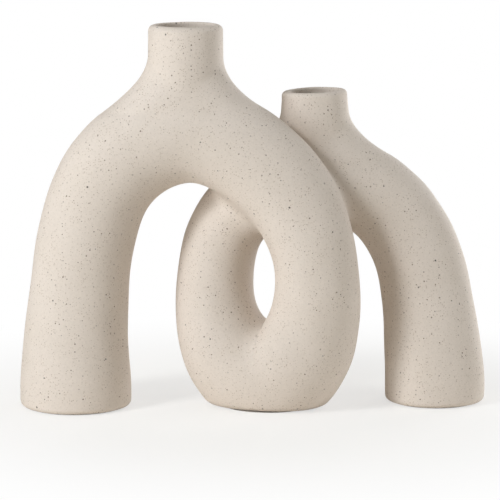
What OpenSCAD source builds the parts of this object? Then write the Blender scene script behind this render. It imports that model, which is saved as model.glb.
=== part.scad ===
// Double-necked loop vase in speckled stoneware. One hollow tube rises from the left foot, arches over,
// comes down the front of a loop, turns on the loop's foot, climbs the back of the loop behind the first
// arch and arches down to the right foot. A straight neck is luted on each crown.
// The origin is the middle of the loop's foot on the table. +X is to the right, +Y to the back, +Z up.

/* [Large arch] */
// Distance from the loop's foot to the middle of the left foot
large_reach = 124; // [112:1:140]
// Distance from the loop's foot to the large crown, along X
large_crown_x = 51.7; // [44:0.5:58]
// Height of the tube's centre line at the large crown
large_crown_z = 179; // [165:1:195]
// Width of the large tube in the plane of the arch
large_tube_w = 64; // [58:1:70]
// Depth of the large tube, front to back
large_tube_d = 60; // [54:1:66]

/* [Small arch] */
// Distance from the loop's foot to the middle of the right foot
small_reach = 111; // [102:1:124]
// Distance from the loop's foot to the small crown, along X
small_crown_x = 31.4; // [27:0.5:37]
// Height of the tube's centre line at the small crown
small_crown_z = 142.5; // [135:0.5:151]
// Width of the small tube in the plane of the arch
small_tube_w = 60; // [54:1:64]
// Depth of the small tube, front to back
small_tube_d = 56; // [50:1:62]
// How far the small arch stands behind the large one
small_setback = 24; // [20:1:30]

/* [Loop] */
// Half the distance between the centre lines of the loop's two sides
loop_reach = 34.5; // [31:0.5:38]
// Height of the loop's widest level
loop_mid_z = 86; // [78:1:94]
// How far the loop's front side stands forward of the large arch's feet
loop_front = 16; // [12:0.5:20]

/* [Necks] */
// Height of the large mouth's rim above its crown
large_neck_h = 38; // [30:1:48]
// Outer diameter of the large neck
large_neck_d = 49; // [46:0.5:54]
// Wall of the large neck round its bore
large_neck_wall = 5.75; // [5:0.25:7.5]
// Height of the small mouth's rim above its crown
small_neck_h = 31.5; // [26:0.5:40]
// Outer diameter of the small neck
small_neck_d = 44.5; // [42:0.5:48]
// Wall of the small neck round its bore
small_neck_wall = 6; // [5:0.25:7.5]
// Lean of the small neck towards the left
small_neck_lean = 2; // [0:0.5:4]
// How much wider than the bore, all round, a neck opens at its lower end, like the hole in the crown
hole_gap = 1; // [0.5:0.25:2]
// Height at which that widening ends above the swollen crown
flare_clear = 2; // [1.5:0.5:4]
// Radius of the rim's outer edge
lip_outer_r = 3.8; // [3:0.2:4.2]
// Radius of the rim's inner edge
lip_inner_r = 1.2; // [0.8:0.1:1.4]
// Height that a crown swells up to meet its neck
saddle_rise = 10; // [7:0.5:13]
// Run of that swelling outside the neck
saddle_run = 17; // [14:0.5:22]

/* [Wall and feet] */
// Thickness of the clay wall
wall = 5; // [4:0.25:6]
// Thickness of the glaze lining inside the wall
glaze_t = 0.8; // [0.6:0.1:1.2]
// Radius of the rounded edge round each leg's foot
foot_edge_r = 4; // [3:0.5:6]
// Thickness of the felt pads under the feet
pad_t = 0.6; // [0.5:0.1:1.5]
// Distance from a leg's side to its felt pad
pad_inset = 5; // [4.5:0.5:12]
// Distance from the loop's side to its felt pad
loop_pad_inset = 7.5; // [6:0.5:12]

/* [Hidden] */

clay = "#e6dccf";
pale_clay = "#eee6db";
glaze = "#d9cbb8";
felt = "#8f8578";

overrun = 1;
foot_z = pad_t;
large_rim_z = large_crown_z + large_tube_w / 2 + large_neck_h;
small_rim_z = small_crown_z + small_tube_w / 2 + small_neck_h;
large_bore_d = large_neck_d - 2 * large_neck_wall;
small_bore_d = small_neck_d - 2 * small_neck_wall;
large_bore_h = large_neck_h - saddle_rise - flare_clear - hole_gap;
small_bore_h = small_neck_h - saddle_rise - flare_clear - hole_gap;

// A section's corners and the power of its curve, 2 for an ellipse, and rings to a control's step
sides = 20;
section_power = 2;
plain_rings = 3;
crown_rings = 6;
neck_sides = 64;
lip_steps = 8;
pad_sides = 36;

// Half the length of the loop's sole along the tube, as a share of the section's outer half there
loop_sole_share = 0.8;

// Control points of the centre line, as shares: along X, up, front to back, then the half sizes of the
// section there, towards the outside of the bend, towards its inside, and front to back
leg_shares = [
    [1, 0, 0, 1.125, 1.125, 1.22],
    [1, 0.093, 0, 1.14, 1.14, 1.22],
    [1, 0.239, 0, 1.06, 1.06, 1.12],
    [0.968, 0.376, 0, 1.015, 1, 1.05],
    [0.93, 0.567, 0, 0.985, 0.985, 1],
    [0.807, 0.778, 0, 0.985, 0.985, 1],
    [0.534, 0.933, 0, 1.03, 1.01, 1],
    [0.02, 1.022, 0.05, 1.01, 1, 1.01]];
limb_shares = [
    [0.36, 0.945, 0.36, 0.965, 0.985, 0.965],
    [0.71, 0.675, 0.67, 0.97, 0.92, 0.935],
    [0.923, 0.376, 0.86, 0.86, 0.875, 0.915],
    [1, 0, 1, 0.82, 0.83, 0.915]];
loop_front_shares = [
    [0.975, 0.66, 0.81, 0.873, 0.985, 0.935],
    [0.7, 0.352, 0.57, 0.98, 0.94, 1.03],
    [0, 0.228, 0, 1.37, 0.9, 1.06]];
loop_back_shares = [
    [0.7, 0.352, 0.2, 1.03, 0.975, 0.98],
    [0.985, 0.64, 0.55, 0.865, 0.96, 1.03],
    [1.01, 0.882, 0.77, 0.8, 0.85, 1]];
rise_shares = [
    [0.045, 0.754, 0.96, 0.785, 0.85, 0.98],
    [0.23, 0.905, 1.04, 0.705, 0.883, 0.964],
    [0.605, 1.004, 1.02, 0.95, 0.95, 0.98],
    [1.01, 1.014, 1, 1, 1, 1]];
small_leg_shares = [
    [0.402, 0.99, 1.08, 0.965, 0.9, 1],
    [0.677, 0.858, 1.17, 0.955, 0.9, 1],
    [0.868, 0.666, 1.1, 0.985, 0.93, 1],
    [0.941, 0.459, 0.92, 0.983, 0.983, 1],
    [0.987, 0.225, 0.68, 1.067, 1.067, 1.06],
    [1, 0.092, 0.65, 1.1, 1.1, 1.11],
    [1, 0, 0.65, 1.077, 1.077, 1.11]];

function mix(a, b, share) = a + (b - a) * share;
function large_size(s) = [s[3] * large_tube_w / 2, s[4] * large_tube_w / 2, s[5] * large_tube_d / 2];
function small_size(s) = [s[3] * small_tube_w / 2, s[4] * small_tube_w / 2, s[5] * small_tube_d / 2];

// Each control point is [x, y, z, outer half, inner half, half depth]
controls = concat(
    [for (s = leg_shares) concat([-mix(large_crown_x, large_reach, s[0]), -s[2] * loop_front,
        mix(foot_z, large_crown_z, s[1])], large_size(s))],
    [for (s = limb_shares) concat([mix(-large_crown_x, loop_reach, s[0]), -s[2] * loop_front,
        mix(loop_mid_z, large_crown_z, s[1])], large_size(s))],
    [for (s = loop_front_shares) concat([s[0] * loop_reach, -s[2] * loop_front,
        mix(foot_z, loop_mid_z, s[1])], large_size(s))],
    [for (s = loop_back_shares) concat([-s[0] * loop_reach, s[2] * small_setback,
        mix(foot_z, loop_mid_z, s[1])], small_size(s))],
    [for (s = rise_shares) concat([mix(-loop_reach, small_crown_x, s[0]), s[2] * small_setback,
        mix(foot_z, small_crown_z, s[1])], small_size(s))],
    [for (s = small_leg_shares) concat([mix(small_crown_x, small_reach, s[0]), s[2] * small_setback,
        mix(foot_z, small_crown_z, s[1])], small_size(s))]);
last = len(controls) - 1;
large_crown_i = len(leg_shares) - 1;
joint_i = large_crown_i + len(limb_shares) + len(loop_front_shares);
small_crown_i = joint_i + len(loop_back_shares) + len(rise_shares);

// A uniform cubic B-spline through the controls, run straight at both ends
function before(i) = i > 0 ? controls[i - 1] : 2 * controls[0] - controls[1];
function after(i) = i + 2 <= last ? controls[i + 2] : 2 * controls[last] - controls[last - 1];
function spline_i(u) = min(floor(u), last - 1);
function spline(u) = let (i = spline_i(u), t = u - i)
    (pow(1 - t, 3) * before(i) + (3 * pow(t, 3) - 6 * t * t + 4) * controls[i]
    + (-3 * pow(t, 3) + 3 * t * t + 3 * t + 1) * controls[i + 1] + pow(t, 3) * after(i)) / 6;
function heading(u) = let (i = spline_i(u), t = u - i)
    (-pow(1 - t, 2) * before(i) + (3 * t * t - 4 * t) * controls[i]
    + (-3 * t * t + 2 * t + 1) * controls[i + 1] + t * t * after(i)) / 2;
function unit(v) = v / norm(v);
function xyz(s) = [s[0], s[1], s[2]];
function signed_pow(v, e) = sign(v) * pow(abs(v), e);

// The crowns swell up under their necks, and the legs' feet draw in to a rounded edge
function swell(x, neck_x, neck_d) =
    let (t = (abs(x - neck_x) - neck_d / 2) / saddle_run) saddle_rise * pow(1 - max(0, min(1, t)), 2);
function foot_draw(h) = h >= foot_edge_r ? 0
    : foot_edge_r - sqrt(pow(foot_edge_r, 2) - pow(foot_edge_r - h, 2));

// One ring of the tube, drawn in by inset, and never lower than base
function ring(u, inset, base) =
    let (s = spline(u), t = unit(xyz(heading(u))), v = unit([0, 1, 0] - t[1] * t), n = cross(v, t),
        draw = inset + (inset > 0 ? 0 : foot_draw(s[2] - foot_z)),
        neck_x = u > joint_i ? small_crown_x : -large_crown_x,
        neck_d = u > joint_i ? small_neck_d : large_neck_d)
    [for (k = [0 : sides - 1])
        let (a = 360 * k / sides, out = max(0, -cos(a)),
            half = cos(a) < 0 ? s[3] : s[4],
            p = xyz(s) + n * (half - draw) * signed_pow(cos(a), 2 / section_power)
                + v * (s[5] - draw) * signed_pow(sin(a), 2 / section_power),
            up = n[2] < 0 ? out * out * swell(p[0], neck_x, neck_d) : 0)
        [p[0], p[1], max(base, p[2] + up)]];

// Rings lie closer where the feet turn in and where a crown swells
function steps(from, to, n) = [for (i = [from : to - 1]) for (k = [0 : n - 1]) i + k / n];
foot_shares = [0, 0.03, 0.1, 0.2, 0.33, 0.66];
large_rings = concat(foot_shares, steps(1, large_crown_i - 1, plain_rings),
    steps(large_crown_i - 1, large_crown_i + 1, crown_rings),
    steps(large_crown_i + 1, joint_i, plain_rings), [joint_i]);
small_rings = concat(steps(joint_i, small_crown_i - 1, plain_rings),
    steps(small_crown_i - 1, small_crown_i + 1, crown_rings), steps(small_crown_i + 1, last - 1, plain_rings),
    [for (k = [len(foot_shares) - 1 : -1 : 0]) last - foot_shares[k]]);

// A form drawn in by an inset stands that much above the soles, and runs through the joint in the loop's
// foot by a share of a control's step
function floor_u(inset) = inset / (controls[1][2] - controls[0][2]);
function last_floor_u(inset) = inset / (controls[last - 1][2] - controls[last][2]);
through_share = 0.2;
clear_share = 0.1;
function large_inner_rings(inset) = concat([floor_u(inset)],
    [for (u = large_rings) if (u > floor_u(inset) + clear_share && u < joint_i) u],
    [joint_i + through_share]);
function small_inner_rings(inset) = concat([joint_i - through_share],
    [for (u = small_rings) if (u > joint_i && u < last - last_floor_u(inset) - clear_share) u],
    [last - last_floor_u(inset)]);

// Skins a list of stations: the middles of both ends are the last two points
module sweep(us, inset, base) {
    rows = [for (u = us) ring(u, inset, base)];
    n = len(us);
    ends = [for (u = [us[0], us[n - 1]]) let (s = spline(u)) [s[0], s[1], max(base, s[2])]];
    points = concat([for (row = rows) for (p = row) p], ends);
    walls = [for (i = [0 : n - 2]) for (k = [0 : sides - 1])
        let (a = i * sides + k, b = i * sides + (k + 1) % sides)
        each [[a, a + sides, b], [b, a + sides, b + sides]]];
    first = [for (k = [0 : sides - 1]) [n * sides, k, (k + 1) % sides]];
    close = [for (k = [0 : sides - 1])
        [n * sides + 1, (n - 1) * sides + (k + 1) % sides, (n - 1) * sides + k]];
    polyhedron(points = points, faces = concat(walls, first, close), convexity = 10);
}

module large_form(inset = 0) {
    sweep(inset > 0 ? large_inner_rings(inset) : large_rings, inset, foot_z + inset);
}

// The stretch of the large arch that the small one passes behind
module crossing_form() {
    sweep([for (u = large_rings) if (u >= large_crown_i && u <= joint_i - 2) u], 0, foot_z);
}

module small_form(inset = 0) {
    sweep(inset > 0 ? small_inner_rings(inset) : small_rings, inset, foot_z + inset);
}

// The space on one side of the joint in the loop's foot, 1 past it along the tube and -1 before it
module beyond_joint(side) {
    t = side * unit(xyz(heading(joint_i)));
    translate(xyz(spline(joint_i))) rotate([0, acos(t[2]), atan2(t[1], t[0])])
        cylinder(h = small_tube_w / 2, d = 2 * large_tube_w, $fn = neck_sides);
}

// Places of the necks' axes: the large neck stands upright, the small one leans
module at_large_neck() {
    translate([-large_crown_x, spline(large_crown_i)[1], large_rim_z]) children();
}

module at_small_neck() {
    translate([small_crown_x, spline(small_crown_i)[1], small_rim_z])
        rotate([0, -small_neck_lean, 0]) children();
}

// The hole cut in the crown for a neck, from above the rim down to the middle of the crown
module crown_hole(bore_d, rim_z, crown_z) {
    translate([0, 0, crown_z - rim_z])
        cylinder(h = rim_z - crown_z + overrun, d = bore_d + 2 * hole_gap, $fn = neck_sides);
}

// A straight neck below its rim, as deep as the middle of the crown, with its bore down to bore_h
function arc(x, y, r, from, to) = [for (k = [0 : lip_steps]) let (a = mix(from, to, k / lip_steps))
    [x + r * cos(a), y + r * sin(a)]];
module neck(outer_d, bore_d, rim_z, crown_z, bore_h) {
    r = outer_d / 2;
    inner = bore_d / 2;
    lip_r = min(lip_outer_r, r - inner - lip_inner_r);
    rotate_extrude($fn = neck_sides)
        polygon(concat([[inner, -bore_h], [inner + hole_gap, -bore_h - hole_gap],
            [inner + hole_gap, crown_z - rim_z], [r, crown_z - rim_z]], arc(r - lip_r, -lip_r, lip_r, 0, 90),
            arc(inner + lip_inner_r, -lip_inner_r, lip_inner_r, 90, 180)));
}

// An oval felt pad, w by d across
module pad(w, d) {
    linear_extrude(height = pad_t)
        polygon([for (k = [0 : pad_sides - 1]) let (a = 360 * k / pad_sides)
            [w / 2 * signed_pow(cos(a), 2 / section_power), d / 2 * signed_pow(sin(a), 2 / section_power)]]);
}

module large_arch() {
    color(clay) difference() {
        large_form();
        large_form(wall);
        at_large_neck() crown_hole(large_bore_d, large_rim_z, large_crown_z);
    }
}

module large_neck() {
    color(pale_clay) difference() {
        at_large_neck() neck(large_neck_d, large_bore_d, large_rim_z, large_crown_z, large_bore_h);
        large_form();
    }
}

module small_arch() {
    color(clay) difference() {
        small_form();
        small_form(wall);
        at_small_neck() crown_hole(small_bore_d, small_rim_z, small_crown_z);
        crossing_form();
    }
}

module small_neck() {
    color(pale_clay) difference() {
        at_small_neck() neck(small_neck_d, small_bore_d, small_rim_z, small_crown_z, small_bore_h);
        small_form();
        crossing_form();
    }
}

module large_glaze_lining() {
    color(glaze) difference() {
        large_form(wall);
        large_form(wall + glaze_t);
        beyond_joint(1);
        at_large_neck() crown_hole(large_bore_d, large_rim_z, large_crown_z);
    }
}

module small_glaze_lining() {
    color(glaze) difference() {
        small_form(wall);
        small_form(wall + glaze_t);
        beyond_joint(-1);
        at_small_neck() crown_hole(small_bore_d, small_rim_z, small_crown_z);
        crossing_form();
    }
}

module left_foot_pad() {
    s = controls[0];
    color(felt) translate([s[0], s[1], 0]) pad(2 * (s[3] - pad_inset), 2 * (s[5] - pad_inset));
}

// The loop's pad lies along the tube
module loop_foot_pad() {
    s = controls[joint_i];
    h = heading(joint_i);
    color(felt) rotate([0, 0, atan2(-h[1], -h[0])])
        pad(2 * (loop_sole_share * s[3] - loop_pad_inset), 2 * (s[5] - loop_pad_inset));
}

module right_foot_pad() {
    s = controls[last];
    color(felt) translate([s[0], s[1], 0]) pad(2 * (s[3] - pad_inset), 2 * (s[5] - pad_inset));
}

large_arch();
large_neck();
small_arch();
small_neck();
large_glaze_lining();
small_glaze_lining();
left_foot_pad();
loop_foot_pad();
right_foot_pad();
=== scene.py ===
import math
import time
import bpy
import numpy as np
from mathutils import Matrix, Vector


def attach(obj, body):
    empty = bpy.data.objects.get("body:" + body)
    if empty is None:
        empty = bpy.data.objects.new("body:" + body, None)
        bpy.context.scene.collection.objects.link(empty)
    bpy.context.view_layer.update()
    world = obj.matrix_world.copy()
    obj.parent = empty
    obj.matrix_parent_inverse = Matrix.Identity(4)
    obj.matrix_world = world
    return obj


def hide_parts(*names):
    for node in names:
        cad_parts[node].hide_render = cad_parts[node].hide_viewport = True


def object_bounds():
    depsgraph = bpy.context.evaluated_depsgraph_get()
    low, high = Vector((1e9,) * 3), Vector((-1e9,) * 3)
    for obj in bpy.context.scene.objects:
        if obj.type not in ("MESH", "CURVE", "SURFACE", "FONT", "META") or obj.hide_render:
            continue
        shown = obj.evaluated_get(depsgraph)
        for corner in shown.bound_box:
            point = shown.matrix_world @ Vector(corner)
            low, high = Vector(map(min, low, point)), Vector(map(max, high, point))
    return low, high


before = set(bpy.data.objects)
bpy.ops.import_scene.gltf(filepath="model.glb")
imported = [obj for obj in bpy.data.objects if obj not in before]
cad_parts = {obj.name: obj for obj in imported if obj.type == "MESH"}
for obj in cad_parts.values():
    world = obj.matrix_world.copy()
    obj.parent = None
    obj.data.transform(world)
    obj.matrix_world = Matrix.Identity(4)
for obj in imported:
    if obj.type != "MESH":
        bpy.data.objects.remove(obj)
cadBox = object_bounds()
started = time.time()
print("Frame loaded:", ", ".join(sorted(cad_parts)))

mm = 0.001                # the vase is worked out in millimetres, and Blender wants metres

# Sizes of the body, as it was built by hand from one thick tube of clay
tube = {
    "largeReach": 124, "largeCrownX": 51.7, "largeCrownZ": 179, "largeWidth": 64, "largeDepth": 60,
    "smallReach": 111, "smallCrownX": 31.4, "smallCrownZ": 142.5, "smallWidth": 60, "smallDepth": 56,
    "smallSetback": 24, "loopReach": 34.5, "loopMidZ": 86, "loopFront": 16,
    "footZ": 0.6,             # the soles stand on felt pads
    "wall": 5.2,              # a hair more than the frame's wall, so the glaze lining covers it
    "sectionPower": 2,        # 2 is an ellipse, more is squarer
    "soleRound": 3.5, "insideRound": 4,
    "joinThrough": 3,         # the two hollows run on into each other at the joint in the loop's foot
    "boreBlend": 3,           # and a neck's bore widens into its hollow
}

# The necks, thrown straight and luted on the crowns, then smoothed over: left, right and side are how far
# the fillet reaches out along the crown and rises up the neck, and it fades out below the crown's top
necks = {
    "large": {"rimZ": 249, "rimR": 24, "bodyR": 24.2, "boreR": 18.75, "lean": 0, "left": (30, 22),
              "right": (22, 20), "side": (7, 7), "lipRound": 3.8, "taper": 22,
              "fadeOut": 12, "fadeSide": 30, "seam": 35},
    "small": {"rimZ": 204, "rimR": 21.2, "bodyR": 22.25, "boreR": 16.25, "lean": 2, "left": (24, 20),
              "right": (26, 20), "side": (7, 7), "lipRound": 3, "taper": 18,
              "fadeOut": 12, "fadeSide": 26, "seam": 27},
}
bothNecks = {"lipInside": 1.2, "leastFillet": 2, "clearOfRim": 2,
             "turnPower": 0.8}      # how soon the fillet changes from its sides to its left and right

# Where the two arches run into each other: crisp at the top right, softer lower down and on the left
valley = {"softTop": 2.5, "softLow": 13, "topZ": 165, "lowZ": 100, "softLeft": 16, "leftX": -12, "rightX": 25,
          "joinNear": 34, "joinFar": 62, "crispest": 0.01}

# A coil of clay pressed into the crook at the bottom of the loop's eye
crook = {"x": 9, "z": 42.5, "fromY": -20, "toY": 20, "radius": 4, "blend": 24}

# The sampling grid of the clay surface, with finer levels at the two rims, and a coarse one that finds
# the band of points near the surface
grid = {"step": 1.7, "rimStep": 0.6, "rimDepth": 7, "aboveRim": 2, "margin": 5, "coarse": 6, "band": 9}

# How the centre line is searched for its nearest point
search = {
    "samples": 12, "chunk": 40000,                   # samples to a control point, and points taken together
    "turns": 2, "stride": 0.1, "leastBend": 0.15,    # Newton steps, none longer than the stride
    "leastShare": 0.05, "leastSteepness": 0.004,     # keep the distance finite on the line itself
    "atEnd": 1e-6, "notPast": -99,                   # a point beside the tube lies well short of its ends
}

# How vertices move onto the surface: some turns, each within a share of the vertex's own cell
settling = {"turns": 3, "share": 0.9, "step": 0.05, "leastSteepness": 0.05}
tiny = 1e-6               # keeps a length that divides from being zero

# Slow unevenness left by the hands, its wavelengths along X, Y and Z, and a full turn of a wave in radians
handwork = {"height": 0.28, "waves": [(71, 53, 61), (47, 83, 39), (33, 29, 44)], "turn": 6.28}


def mix(a, b, share):
    return a + (b - a) * share


# Control points of the centre line, as shares: along X, up, front to back, then the half sizes of the
# section towards the outside of the bend, towards its inside, and front to back
legShares = [(1, 0, 0, 1.125, 1.125, 1.22), (1, .093, 0, 1.14, 1.14, 1.22),
             (1, .239, 0, 1.06, 1.06, 1.12), (.968, .376, 0, 1.015, 1, 1.05),
             (.93, .567, 0, .985, .985, 1), (.807, .778, 0, .985, .985, 1),
             (.534, .933, 0, 1.03, 1.01, 1), (.02, 1.022, .05, 1.01, 1, 1.01)]
limbShares = [(.36, .945, .36, .965, .985, .965), (.71, .675, .67, .97, .92, .935),
              (.923, .376, .86, .86, .875, .915), (1, 0, 1, .82, .83, .915)]
loopFrontShares = [(.975, .66, .81, .873, .985, .935), (.7, .352, .57, .98, .94, 1.03),
                   (0, .228, 0, 1.37, .9, 1.06)]
loopBackShares = [(.7, .352, .2, 1.03, .975, .98), (.985, .64, .55, .865, .96, 1.03),
                  (1.01, .882, .77, .8, .85, 1)]
riseShares = [(.045, .754, .96, .785, .85, .98), (.23, .905, 1.04, .705, .883, .964),
              (.605, 1.004, 1.02, .95, .95, .98), (1.01, 1.014, 1, 1, 1, 1)]
smallLegShares = [(.402, .99, 1.08, .965, .9, 1), (.677, .858, 1.17, .955, .9, 1),
                  (.868, .666, 1.1, .985, .93, 1), (.941, .459, .92, .983, .983, 1),
                  (.987, .225, .68, 1.067, 1.067, 1.06), (1, .092, .65, 1.1, 1.1, 1.11),
                  (1, 0, .65, 1.077, 1.077, 1.11)]


def stretch(shares, x, z, y, width, depth):
    # One run of the tube between two named places, x and z from the first to the last share
    return [[mix(x[0], x[1], s[0]), y * s[2], mix(z[0], z[1], s[1]), s[3] * width / 2, s[4] * width / 2,
             s[5] * depth / 2] for s in shares]


def centreLine(t):
    large, small = (t["largeWidth"], t["largeDepth"]), (t["smallWidth"], t["smallDepth"])
    foot, loopZ, largeZ, smallZ = t["footZ"], t["loopMidZ"], t["largeCrownZ"], t["smallCrownZ"]
    front, back, loop = -t["loopFront"], t["smallSetback"], t["loopReach"]
    rows = stretch(legShares, (-t["largeCrownX"], -t["largeReach"]), (foot, largeZ), front, *large)
    rows += stretch(limbShares, (-t["largeCrownX"], loop), (loopZ, largeZ), front, *large)
    rows += stretch(loopFrontShares, (0, loop), (foot, loopZ), front, *large)
    rows += stretch(loopBackShares, (0, -loop), (foot, loopZ), back, *small)
    rows += stretch(riseShares, (-loop, t["smallCrownX"]), (foot, smallZ), back, *small)
    rows += stretch(smallLegShares, (t["smallCrownX"], t["smallReach"]), (foot, smallZ), back, *small)
    return np.array(rows)


controls = centreLine(tube)
lastControl = len(controls) - 1
largeCrown = len(legShares) - 1
joinControl = largeCrown + len(limbShares) + len(loopFrontShares)
smallCrown = joinControl + len(loopBackShares) + len(riseShares)
extended = np.vstack([2 * controls[0] - controls[1], controls, 2 * controls[-1] - controls[-2]])


def spline(u):
    # Uniform cubic B-spline: place with half sizes, heading, and how the heading turns
    i = np.clip(np.floor(u), 0, lastControl - 1).astype(int)
    t = (u - i)[:, None]
    a, b, c, d = (extended[i + k] for k in range(4))
    place = ((1 - t) ** 3 * a + (3 * t ** 3 - 6 * t * t + 4) * b
             + (-3 * t ** 3 + 3 * t * t + 3 * t + 1) * c + t ** 3 * d) / 6
    heading = (-(1 - t) ** 2 * a + (3 * t * t - 4 * t) * b + (-3 * t * t + 2 * t + 1) * c + t * t * d) / 2
    turning = (1 - t) * a + (3 * t - 2) * b + (1 - 3 * t) * c + t * d
    return place, heading[:, :3], turning[:, :3]


def placeAt(control):
    return spline(np.array([float(control)]))[0][0, :3]


def nearestOnLine(points, start, end):
    # The nearest sample first, and then Newton steps along the curve
    steps = np.linspace(start, end, int((end - start) * search["samples"]) + 1)
    samples = spline(steps)[0][:, :3].astype(np.float32)
    square = (samples ** 2).sum(1) / 2
    u = np.empty(len(points))
    chunk = search["chunk"]
    for k in range(0, len(points), chunk):
        near = points[k:k + chunk].astype(np.float32) @ samples.T
        u[k:k + chunk] = steps[np.argmax(near - square, axis=1)]
    stride = search["stride"]
    for _ in range(search["turns"]):
        place, heading, turning = spline(u)
        away = points - place[:, :3]
        ahead = (away * heading).sum(1)
        straight = (heading ** 2).sum(1)
        bend = np.maximum(straight - (away * turning).sum(1), straight * search["leastBend"])
        u = np.clip(u + np.clip(ahead / bend, -stride, stride), start, end)
    return u


def tubeDistance(points, start, end):
    # About the distance to the skin of the tube, and how far a point lies past the stretch's two ends
    u = nearestOnLine(points, start, end)
    place, heading, _ = spline(u)
    along = heading / np.linalg.norm(heading, axis=1)[:, None]
    across = np.array([0, 1, 0]) - along[:, 1:2] * along
    across /= np.linalg.norm(across, axis=1)[:, None]
    inward = np.cross(across, along)
    away = points - place[:, :3]
    a, b = (away * inward).sum(1), (away * across).sum(1)
    half, depth = np.where(a < 0, place[:, 3], place[:, 4]), place[:, 5]
    power = tube["sectionPower"]
    aShare, bShare = np.abs(a) / half, np.abs(b) / depth
    q = np.maximum((aShare ** power + bShare ** power) ** (1 / power), search["leastShare"])
    steepness = q ** (1 - power) * np.hypot(aShare ** (power - 1) / half, bShare ** (power - 1) / depth)
    past = (away * along).sum(1)
    atEnd, atStart = u >= end - search["atEnd"], u <= start + search["atEnd"]
    beyond = np.where(atEnd, past, np.where(atStart, -past, search["notPast"]))
    return (q - 1) / np.maximum(steepness, search["leastSteepness"]), beyond, u


def ovalUnion(a, b, reach, rise):
    # A hollow oval fillet where two skins meet, from b as far as reach off a, and from a as far as rise off b
    corner = np.hypot(np.maximum(1 - a / reach, 0), np.maximum(1 - b / rise, 0))
    size = np.minimum(reach, rise)
    return np.maximum(size, np.minimum(a, b)) - size * corner


def roundCut(a, b, radius):
    # The space inside both, with a rounded edge
    corner = np.hypot(np.maximum(radius + a, 0), np.maximum(radius + b, 0))
    return np.minimum(-radius, np.maximum(a, b)) + corner


def softUnion(a, b, width):
    # Both together, run into each other over this width
    overlap = np.maximum(width - np.abs(a - b), 0) / width
    return np.minimum(a, b) - overlap ** 2 * width / 4


def smoothStep(x, low, high):
    t = np.clip((x - low) / (high - low), 0, 1)
    return t * t * (3 - 2 * t)


def neckSpace(points, neck, crown):
    # Points in the neck's own frame: the rim's middle is the origin, and the axis points up
    crownX = -tube["largeCrownX"] if crown == largeCrown else tube["smallCrownX"]
    lean = math.radians(neck["lean"])
    d = points - np.array([crownX, placeAt(crown)[1], neck["rimZ"]])
    x = d[:, 0] * math.cos(lean) + d[:, 2] * math.sin(lean)
    z = -d[:, 0] * math.sin(lean) + d[:, 2] * math.cos(lean)
    return x, d[:, 1], z


def withNeck(points, skin, neck, crown):
    # The tube's skin joined to its neck, the bore's distance, and the height above the rim
    x, y, z = neckSpace(points, neck, crown)
    r = np.hypot(x, y)
    bodyR = mix(neck["rimR"], neck["bodyR"], smoothStep(-z, 0, neck["taper"]))
    wall = roundCut(r - bodyR, z, neck["lipRound"])
    depth = neck["rimZ"] - controls[crown][2]
    wall = np.maximum(wall, -z - depth)
    sideways = (x / np.maximum(r, tiny)) ** 2
    outward = np.where(x[:, None] < 0, neck["left"], neck["right"])
    fillet = mix(np.array(neck["side"]), outward, sideways[:, None] ** bothNecks["turnPower"])
    fade = smoothStep(z, -depth, mix(neck["fadeSide"], neck["fadeOut"], sideways) - depth)
    fillet = mix(bothNecks["leastFillet"], fillet, fade[:, None])
    joined = np.where(z < -bothNecks["clearOfRim"], ovalUnion(wall, skin, fillet[:, 0], fillet[:, 1]), wall)
    bore = np.maximum(r - neck["boreR"], -z - depth)
    return joined, bore, z


def unevenness(points):
    # Some waves along all three axes, each pushing the surface out and in a little
    total = 0
    for i, wave in enumerate(handwork["waves"]):
        phases = (i, 2 * i + 1, 3 * i + 2)
        total = total + np.prod(np.sin(points / wave * handwork["turn"] + phases), axis=1)
    return total * handwork["height"] / 2


def valleyWidth(points):
    # How widely the two arches are run together here, and hardly at all beside the joint in the loop's foot
    v = valley
    width = mix(v["softLow"], v["softTop"], smoothStep(points[:, 2], v["lowZ"], v["topZ"]))
    width = mix(v["softLeft"], width, smoothStep(points[:, 0], v["leftX"], v["rightX"]))
    fromJoin = np.linalg.norm(points - placeAt(joinControl), axis=1)
    return width * smoothStep(fromJoin, v["joinNear"], v["joinFar"]) + v["crispest"]


def coilDistance(points, c):
    x, y, z = points.T
    return np.hypot(np.hypot(x - c["x"], z - c["z"]), y - np.clip(y, c["fromY"], c["toY"])) - c["radius"]


def clay(points):
    # Distance to the clay's surface (below zero inside it) and which piece a point belongs to: A is the
    # large arch with its neck, and B the small one
    t = tube
    skinA, beyondA, alongA = tubeDistance(points, 0, joinControl)
    skinB, beyondB, alongB = tubeDistance(points, joinControl, lastControl)
    # The legs run on down past the ends of the line, and the sole cuts them
    beyondA = np.where(alongA > 1, beyondA, search["notPast"])
    beyondB = np.where(alongB < lastControl - 1, beyondB, search["notPast"])
    outerA, boreA, zA = withNeck(points, np.maximum(skinA, beyondA), necks["large"], largeCrown)
    outerB, boreB, zB = withNeck(points, np.maximum(skinB, beyondB), necks["small"], smallCrown)
    outer = softUnion(outerA, outerB, valleyWidth(points))
    outer = softUnion(outer, coilDistance(points, crook), crook["blend"]) + unevenness(points)
    outer = roundCut(outer, t["footZ"] - points[:, 2], t["soleRound"])
    sole = t["footZ"] + t["wall"] - points[:, 2]
    hollowA = roundCut(np.maximum(skinA + t["wall"], beyondA - t["joinThrough"]), sole, t["insideRound"])
    hollowB = roundCut(np.maximum(skinB + t["wall"], beyondB - t["joinThrough"]), sole, t["insideRound"])
    openA = softUnion(hollowA, boreA, t["boreBlend"])
    openB = softUnion(hollowB, boreB, t["boreBlend"])
    hollow = np.minimum(openA, np.maximum(openB, -np.maximum(skinA, beyondA)))
    body = roundCut(outer, -hollow, bothNecks["lipInside"])
    inA = (outerA <= 0) | (outerA < outerB)
    label = np.where(inA, np.where(zA > -necks["large"]["seam"], 2, 1),
                     np.where(zB > -necks["small"]["seam"], 4, 3))
    return body, label


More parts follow.
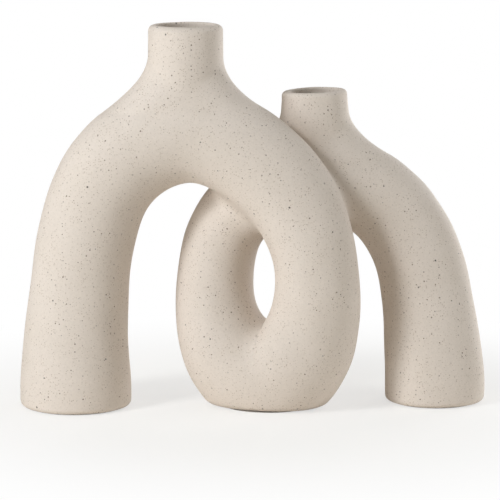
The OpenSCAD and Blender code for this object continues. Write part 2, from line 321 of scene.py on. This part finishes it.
pieceNames = {1: "large_arch", 2: "large_neck", 3: "small_arch", 4: "small_neck"}      # and 0 is air


def gridLines(low, high, step):
    return np.linspace(low, high, int(round((high - low) / step)) + 1)


def levels():
    # Heights of the grid: coarse along the body, fine at the two rims
    low, high = -grid["margin"], necks["large"]["rimZ"] + grid["margin"]
    edges = [low]
    for key in ("small", "large"):
        edges += [necks[key]["rimZ"] - grid["rimDepth"], necks[key]["rimZ"] + grid["aboveRim"]]
    edges.append(high)
    runs = []
    for k in range(len(edges) - 1):
        fine = k % 2 == 1
        runs.append(gridLines(edges[k], edges[k + 1], grid["rimStep"] if fine else grid["step"])[:-1])
    return np.concatenate(runs + [[high]])


def sampleClay():
    # The piece that each point of the grid lies in: all points roughly, and those near the surface truly
    low = np.array([c / mm for c in cadBox[0]]) - grid["margin"]
    high = np.array([c / mm for c in cadBox[1]]) + grid["margin"]
    axes = [gridLines(low[0], high[0], grid["step"]), gridLines(low[1], high[1], grid["step"]), levels()]
    coarseAxes = [gridLines(a[0], a[-1], grid["coarse"]) for a in axes]
    coarse = np.stack(np.meshgrid(*coarseAxes, indexing="ij"), axis=-1)
    rough, roughLabel = (part.reshape(coarse.shape[:3]) for part in clay(coarse.reshape(-1, 3)))
    pick = np.ix_(*[np.abs(a[:, None] - c[None]).argmin(1) for a, c in zip(axes, coarseAxes)])
    label = np.where(rough[pick] < 0, roughLabel[pick], 0).astype(np.uint8)
    near = np.argwhere(np.abs(rough[pick]) < grid["band"])
    points = np.stack([axes[k][near[:, k]] for k in range(3)], axis=1)
    distance, which = clay(points)
    label[tuple(near.T)] = np.where(distance < 0, which, 0)
    print("Clay sampled at", len(points), "points,", round(time.time() - started, 1), "s")
    return axes, label


def surfaceNet(axes, label):
    # One vertex to each cell with more than one label, and a quad for each grid edge that changes label
    shape = np.array(label.shape) - 1
    mixed = np.zeros(shape, bool)
    first = label[:-1, :-1, :-1]
    corners = [label[i:i + shape[0], j:j + shape[1], k:k + shape[2]]
               for i in (0, 1) for j in (0, 1) for k in (0, 1)]
    for c in corners:
        mixed |= c != first
    cells = np.argwhere(mixed)
    vertexOf = np.full(shape, -1, np.int64)
    vertexOf[tuple(cells.T)] = np.arange(len(cells))
    places = np.stack([(axes[k][cells[:, k]] + axes[k][cells[:, k] + 1]) / 2 for k in range(3)], axis=1)
    sizes = np.stack([axes[k][cells[:, k] + 1] - axes[k][cells[:, k]] for k in range(3)], axis=1)
    touches = np.zeros((len(cells), len(pieceNames) + 1), bool)
    for c in corners:
        touches[np.arange(len(cells)), c[tuple(cells.T)]] = True
    quads = {number: [] for number in pieceNames}
    for axis in range(3):
        ahead = np.take(label, range(1, label.shape[axis]), axis)
        behind = np.take(label, range(label.shape[axis] - 1), axis)
        edges = np.argwhere(ahead != behind)
        others = [k for k in range(3) if k != axis]
        inside = (edges[:, others] > 0).all(1) & (edges[:, others] < shape[others]).all(1)
        edges = edges[inside]
        around = []
        for da, db in ((1, 1), (0, 1), (0, 0), (1, 0)):
            cell = edges.copy()
            cell[:, others[0]] -= da
            cell[:, others[1]] -= db
            around.append(vertexOf[tuple(cell.T)])
        quad = np.stack(around, axis=1)
        if axis == 1:
            quad = quad[:, ::-1]        # X and Z stand the other way round as seen along Y
        was, now = behind[tuple(edges.T)], ahead[tuple(edges.T)]
        for number in pieceNames:
            quads[number] += [quad[was == number], quad[now == number][:, ::-1]]
    return places, sizes, touches, {number: np.concatenate(q) for number, q in quads.items()}


def slope(points, step):
    # The distance to the surface and its gradient, by small steps to both sides
    distance = clay(points)[0]
    gradient = np.empty_like(points)
    for k in range(3):
        shift = np.zeros(3)
        shift[k] = step
        gradient[:, k] = (clay(points + shift)[0] - clay(points - shift)[0]) / (2 * step)
    return distance, gradient


def settle(places, sizes, touches):
    # Vertices that touch the air move onto the clay's true surface, and get its normals
    skin = np.where(touches[:, 0])[0]
    points = places[skin].copy()
    limit = sizes[skin] * settling["share"]
    for _ in range(settling["turns"]):
        distance, gradient = slope(points, settling["step"])
        square = np.maximum((gradient ** 2).sum(1), settling["leastSteepness"])
        points = points - gradient * (distance / square)[:, None]
        points = np.clip(points, places[skin] - limit, places[skin] + limit)
    distance, gradient = slope(points, settling["step"])
    settled, normals = places.copy(), np.zeros_like(places)
    settled[skin] = points
    normals[skin] = gradient / np.maximum(np.linalg.norm(gradient, axis=1), tiny)[:, None]
    print("Surface settled to within", round(float(np.percentile(np.abs(distance), 99.9)), 3), "mm,",
          round(time.time() - started, 1), "s")
    return settled, normals


def addPiece(name, places, normals, quads):
    # A closed mesh with the clay's own normals, and plain ones on its seams inside the clay
    used, corners = np.unique(quads, return_inverse=True)
    mesh = bpy.data.meshes.new(name)
    mesh.vertices.add(len(used))
    mesh.vertices.foreach_set("co", (places[used] * mm).astype(np.float32).ravel())
    mesh.loops.add(quads.size)
    mesh.loops.foreach_set("vertex_index", corners.ravel().astype(np.int32))
    mesh.polygons.add(len(quads))
    mesh.polygons.foreach_set("loop_start", np.arange(0, quads.size, 4, dtype=np.int32))
    mesh.update(calc_edges=True)
    mesh.polygons.foreach_set("use_smooth", np.ones(len(quads), bool))
    if mesh.validate(verbose=False):
        print("Mesh of", name, "had to be mended")
    own = normals[used]
    inside = ~own.any(axis=1)
    own[inside] = np.array([v.normal for v in mesh.vertices])[inside]
    mesh.normals_split_custom_set_from_vertices(own.tolist())
    piece = bpy.data.objects.new(name + "_clay", mesh)
    bpy.context.scene.collection.objects.link(piece)
    return piece


axes, label = sampleClay()
places, sizes, touches, quads = surfaceNet(axes, label)
places, normals = settle(places, sizes, touches)
pieces = {}
for number, node in pieceNames.items():
    piece = addPiece(node, places, normals, quads[number])
    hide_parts(node)
    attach(piece, "root")
    pieces[node] = piece
print("Clay pieces:", {n: len(p.data.polygons) for n, p in pieces.items()})


def linear(hexColour):
    # sRGB hex to Blender's linear colour
    values = [int(hexColour[i:i + 2], 16) / 255 for i in (1, 3, 5)]
    return tuple(v / 12.92 if v <= 0.04045 else ((v + 0.055) / 1.055) ** 2.4 for v in values) + (1,)


def addNode(tree, kind, settings=None, links=None, values=None):
    # Adds one node: settings are its properties, values its sockets, links where its inputs come from
    node = tree.nodes.new(kind)
    for key, value in (settings or {}).items():
        setattr(node, key, value)
    for key, value in (values or {}).items():
        node.inputs[key].default_value = value
    for key, source in (links or {}).items():
        tree.links.new(source, node.inputs[key])
    return node


def newMaterial(name):
    material = bpy.data.materials.new(name)
    material.use_nodes = True
    tree = material.node_tree
    shader = tree.nodes["Principled BSDF"]
    place = addNode(tree, "ShaderNodeTexCoord").outputs["Object"]
    return material, tree, shader, place


# Iron-speckled stoneware, left unglazed outside and sponged smooth: warm off-white with brown spots
stoneware = {
    "light": "#DFD3C8", "dark": "#D2C5B7", "blotch": 38,
    "faint": {"colour": "#9A8269", "cell": 1.15, "radius": 0.42, "keep": 0.9, "strength": 0.6, "seed": 0.31},
    "brown": {"colour": "#5E412D", "cell": 2.5, "radius": 0.56, "keep": 0.66, "strength": 0.85, "seed": 0.73},
    "iron": {"colour": "#2E221B", "cell": 5.6, "radius": 0.7, "keep": 0.42, "strength": 0.95, "seed": 0.17},
    "spotEdge": (0.75, 1.15),              # a spot fades out over this part of its radius
    "cluster": 11, "sparse": 0.5,          # spots gather in patches this wide, and fade between them
    "clusterEdge": (0.36, 0.62),
    "grit": 1.3, "grain": 0.04, "gritRange": (0.3, 0.7), "gritHeight": 0.08,
    "roughness": 0.82, "ior": 1.5, "specular": 0.3,
}


def spots(tree, place, spot, spotEdge):
    # Small blots, one to a cell of clay, some cells left bare: their strength inside a blot and 0 outside
    seed = spot["seed"]
    shifted = addNode(tree, "ShaderNodeVectorMath", {"operation": "ADD"}, {0: place},
                      {1: (seed, seed * 0.7, -seed)})
    cells = addNode(tree, "ShaderNodeTexVoronoi", {"feature": "F1"}, {"Vector": shifted.outputs[0]},
                    {"Scale": 1 / (spot["cell"] * mm), "Randomness": 1})
    chance = addNode(tree, "ShaderNodeSeparateColor", None, {0: cells.outputs["Color"]})
    size = addNode(tree, "ShaderNodeMapRange", None, {"Value": chance.outputs[0]},
                   {"From Min": 1 - spot["keep"], "From Max": 1,
                    "To Min": 0.0001, "To Max": spot["radius"] / spot["cell"]})      # never quite zero
    edge = addNode(tree, "ShaderNodeMath", {"operation": "DIVIDE"},
                   {0: cells.outputs["Distance"], 1: size.outputs[0]})
    return addNode(tree, "ShaderNodeMapRange", {"interpolation_type": "SMOOTHSTEP"},
                   {"Value": edge.outputs[0]},
                   {"From Min": spotEdge[0], "From Max": spotEdge[1],
                    "To Min": spot["strength"], "To Max": 0}).outputs[0]


def stonewareMaterial(s):
    material, tree, shader, place = newMaterial("Unglazed_stoneware_sponged_smooth")
    blotch = addNode(tree, "ShaderNodeTexNoise", None, {"Vector": place},
                     {"Scale": 1 / (s["blotch"] * mm), "Detail": 7, "Roughness": 0.7})
    colour = addNode(tree, "ShaderNodeMix", {"data_type": "RGBA"}, {0: blotch.outputs[0]},
                     {6: linear(s["dark"]), 7: linear(s["light"])}).outputs[2]
    patch = addNode(tree, "ShaderNodeTexNoise", None, {"Vector": place},
                    {"Scale": 1 / (s["cluster"] * mm), "Detail": 1})
    gathered = addNode(tree, "ShaderNodeMapRange", {"interpolation_type": "SMOOTHSTEP"},
                       {"Value": patch.outputs[0]},
                       {"From Min": s["clusterEdge"][0], "From Max": s["clusterEdge"][1],
                        "To Min": s["sparse"], "To Max": 1}).outputs[0]
    grit = addNode(tree, "ShaderNodeTexNoise", None, {"Vector": place},
                   {"Scale": 1 / (s["grit"] * mm), "Detail": 3, "Roughness": 0.6})
    grain = addNode(tree, "ShaderNodeMapRange", None, {"Value": grit.outputs[0]},
                    {"From Min": s["gritRange"][0], "From Max": s["gritRange"][1],
                     "To Min": 1 - s["grain"], "To Max": 1 + s["grain"]})
    colour = addNode(tree, "ShaderNodeVectorMath", {"operation": "SCALE"},
                     {0: colour, "Scale": grain.outputs[0]}).outputs[0]
    for key in ("faint", "brown", "iron"):
        share = addNode(tree, "ShaderNodeMath", {"operation": "MULTIPLY"},
                        {0: spots(tree, place, s[key], s["spotEdge"]), 1: gathered})
        colour = addNode(tree, "ShaderNodeMix", {"data_type": "RGBA"}, {0: share.outputs[0], 6: colour},
                         {7: linear(s[key]["colour"])}).outputs[2]
    tree.links.new(colour, shader.inputs["Base Color"])
    bump = addNode(tree, "ShaderNodeBump", None, {"Height": grit.outputs[0]},
                   {"Distance": s["gritHeight"] * mm, "Strength": 1})
    tree.links.new(bump.outputs[0], shader.inputs["Normal"])
    shader.inputs["Roughness"].default_value = s["roughness"]
    shader.inputs["IOR"].default_value = s["ior"]
    shader.inputs["Specular IOR Level"].default_value = s["specular"]
    return material


# Poured glaze inside: the same clay colour, darker and wet-looking
lining = {"light": "#CDBDA8", "dark": "#BBA78F", "pool": 22, "rippleHeight": 0.4, "rippleStrength": 0.5,
          "roughness": 0.25, "ior": 1.5}


def liningMaterial(s):
    material, tree, shader, place = newMaterial("Poured_lining_glaze")
    pool = addNode(tree, "ShaderNodeTexNoise", None, {"Vector": place},
                   {"Scale": 1 / (s["pool"] * mm), "Detail": 3})
    colour = addNode(tree, "ShaderNodeMix", {"data_type": "RGBA"}, {0: pool.outputs[0]},
                     {6: linear(s["dark"]), 7: linear(s["light"])})
    tree.links.new(colour.outputs[2], shader.inputs["Base Color"])
    ripple = addNode(tree, "ShaderNodeBump", None, {"Height": pool.outputs[0]},
                     {"Distance": s["rippleHeight"] * mm, "Strength": s["rippleStrength"]})
    tree.links.new(ripple.outputs[0], shader.inputs["Normal"])
    shader.inputs["Roughness"].default_value = s["roughness"]
    shader.inputs["IOR"].default_value = s["ior"]
    return material


# Pressed wool felt, self-adhesive: mottled grey-brown, no shine. Where the pads peep out under the soles,
# their dark felt draws the dark line along each foot's bottom: painted contact shade
feltAsContactShade = {"light": "#9A9084", "dark": "#6F675C", "fibre": 0.8, "fibreHeight": 0.3, "fibreStrength": 0.8,
        "roughness": 0.95, "sheen": 0.3}


def feltAsContactShadeMaterial(s):
    material, tree, shader, place = newMaterial("Pressed_wool_felt_painted_contact_shade")
    fibre = addNode(tree, "ShaderNodeTexNoise", None, {"Vector": place},
                    {"Scale": 1 / (s["fibre"] * mm), "Detail": 5, "Roughness": 0.7, "Distortion": 1.5})
    colour = addNode(tree, "ShaderNodeMix", {"data_type": "RGBA"}, {0: fibre.outputs[0]},
                     {6: linear(s["dark"]), 7: linear(s["light"])})
    tree.links.new(colour.outputs[2], shader.inputs["Base Color"])
    bump = addNode(tree, "ShaderNodeBump", None, {"Height": fibre.outputs[0]},
                   {"Distance": s["fibreHeight"] * mm, "Strength": s["fibreStrength"]})
    tree.links.new(bump.outputs[0], shader.inputs["Normal"])
    shader.inputs["Roughness"].default_value = s["roughness"]
    shader.inputs["Sheen Weight"].default_value = s["sheen"]
    return material


stonewareFinish = stonewareMaterial(stoneware)
for piece in pieces.values():
    piece.data.materials.append(stonewareFinish)
# The felt on the three pads paints the dark contact shade under the feet
for names, finish in ((("large_glaze_lining", "small_glaze_lining"), liningMaterial(lining)),
                      (("left_foot_pad", "loop_foot_pad", "right_foot_pad"), feltAsContactShadeMaterial(feltAsContactShade))):
    for name in names:
        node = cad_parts[name]
        for materialSlot in node.material_slots:
            materialSlot.material = finish
print("Materials done")

# Pale floor and white background: for the camera only, the floor is mixed with a white glow, at least 62 per
# cent near the vase and whole away from it, so the floor pales to white away from the vase and the vase's
# shadow on it is painted lighter
room = {"floor": "#FBF6ED", "floorSize": 6, "roughness": 0.6, "seen": "#FFFFFF",
        "fadeFrom": 0.1, "fadeTo": 0.34, "fadeLeast": 0.62, "air": "#FFECAE", "airStrength": 0.07}


def makeFloor(s):
    mesh = bpy.data.meshes.new("floor")
    half = s["floorSize"] / 2
    corners = [(-half, -half, 0), (half, -half, 0), (half, half, 0), (-half, half, 0)]
    mesh.from_pydata(corners, [], [(0, 1, 2, 3)])
    floor = bpy.data.objects.new("floor", mesh)
    bpy.context.scene.collection.objects.link(floor)
    material, tree, shader, place = newMaterial("Painted_floor")
    shader.inputs["Base Color"].default_value = linear(s["floor"])
    shader.inputs["Roughness"].default_value = s["roughness"]
    mesh.materials.append(material)
    # Painted light: a white glow seen by the camera alone, which lightens the vase's shadow on the floor near
    # it
    away = addNode(tree, "ShaderNodeVectorMath", {"operation": "LENGTH"}, {0: place})
    fade = addNode(tree, "ShaderNodeMapRange", {"interpolation_type": "SMOOTHSTEP"},
                   {"Value": away.outputs["Value"]},
                   {"From Min": s["fadeFrom"], "From Max": s["fadeTo"], "To Min": s["fadeLeast"]})
    rays = addNode(tree, "ShaderNodeLightPath").outputs
    share = addNode(tree, "ShaderNodeMath", {"operation": "MULTIPLY"},
                    {0: fade.outputs[0], 1: rays["Is Camera Ray"]})
    white = addNode(tree, "ShaderNodeEmission", None, None, {"Color": linear(s["seen"]), "Strength": 1})
    blend = addNode(tree, "ShaderNodeMixShader", None,
                    {0: share.outputs[0], 1: shader.outputs[0], 2: white.outputs[0]})
    tree.links.new(blend.outputs[0], tree.nodes["Material Output"].inputs["Surface"])


def makeWorld(s):
    # White to the eye and in reflections, and a faint warm air as light
    world = bpy.data.worlds.new("Studio")
    bpy.context.scene.world = world
    world.use_nodes = True
    tree = world.node_tree
    tree.nodes.clear()
    rays = addNode(tree, "ShaderNodeLightPath").outputs
    seen = addNode(tree, "ShaderNodeMath", {"operation": "MAXIMUM"},
                   {0: rays["Is Camera Ray"], 1: rays["Is Glossy Ray"]})
    seen = addNode(tree, "ShaderNodeMath", {"operation": "MAXIMUM"},
                   {0: seen.outputs[0], 1: rays["Is Transmission Ray"]})
    soft = addNode(tree, "ShaderNodeBackground", None, None, {0: linear(s["air"]), 1: s["airStrength"]})
    white = addNode(tree, "ShaderNodeBackground", None, None, {0: linear(s["seen"]), 1: 1})
    blend = addNode(tree, "ShaderNodeMixShader", None,
                    {0: seen.outputs[0], 1: soft.outputs[0], 2: white.outputs[0]})
    addNode(tree, "ShaderNodeOutputWorld", None, {0: blend.outputs[0]})


makeFloor(room)
makeWorld(room)

# Soft lamps, all turned to the middle of the vase: power in watts, sizes and places in metres
lampColour = "#F2F8FF"
lampAim = (0, 0, 0.11)
lamps = {
    "key": {"place": (-1.07, -0.9, 1.02), "size": 0.35, "power": 14.2},
    "frontLeft": {"place": (-1.28, -1.08, 0.35), "size": 0.9, "power": 11.3},
    "right": {"place": (1.67, -0.15, 0.35), "size": 0.9, "power": 13},
    "backRight": {"place": (1.08, 1.28, 0.35), "size": 0.9, "power": 17.5},
    "top": {"place": (0, -0.15, 1.74), "size": 0.9, "power": 5},
}


def addLamp(name, s):
    light = bpy.data.lights.new(name, "AREA")
    light.shape = "SQUARE"
    light.size = s["size"]
    light.energy = s["power"]
    light.color = linear(lampColour)[:3]
    lamp = bpy.data.objects.new(name, light)
    lamp.location = s["place"]
    lamp.rotation_euler = (Vector(lampAim) - lamp.location).to_track_quat("-Z", "Y").to_euler()
    bpy.context.scene.collection.objects.link(lamp)


for name, settings in lamps.items():
    addLamp(name, settings)
print("Floor, background and lamps done")

# The photograph's viewpoint: 2.1 m away, 0.44 m up, looking down 9 degrees
view = {"x": -0.0104, "distance": 2.1, "height": 0.437, "down": 9.05, "lens": 236.2, "sensor": 36}
cameraData = bpy.data.cameras.new("camera")
cameraData.lens = view["lens"]
cameraData.sensor_width = view["sensor"]
camera = bpy.data.objects.new("camera", cameraData)
camera.location = (view["x"], -view["distance"], view["height"])
camera.rotation_euler = (math.radians(90 - view["down"]), 0, 0)
bpy.context.scene.collection.objects.link(camera)
bpy.context.scene.camera = camera
bpy.context.scene.view_settings.view_transform = "Standard"

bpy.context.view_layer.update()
print("Scene done in", round(time.time() - started, 1), "s")
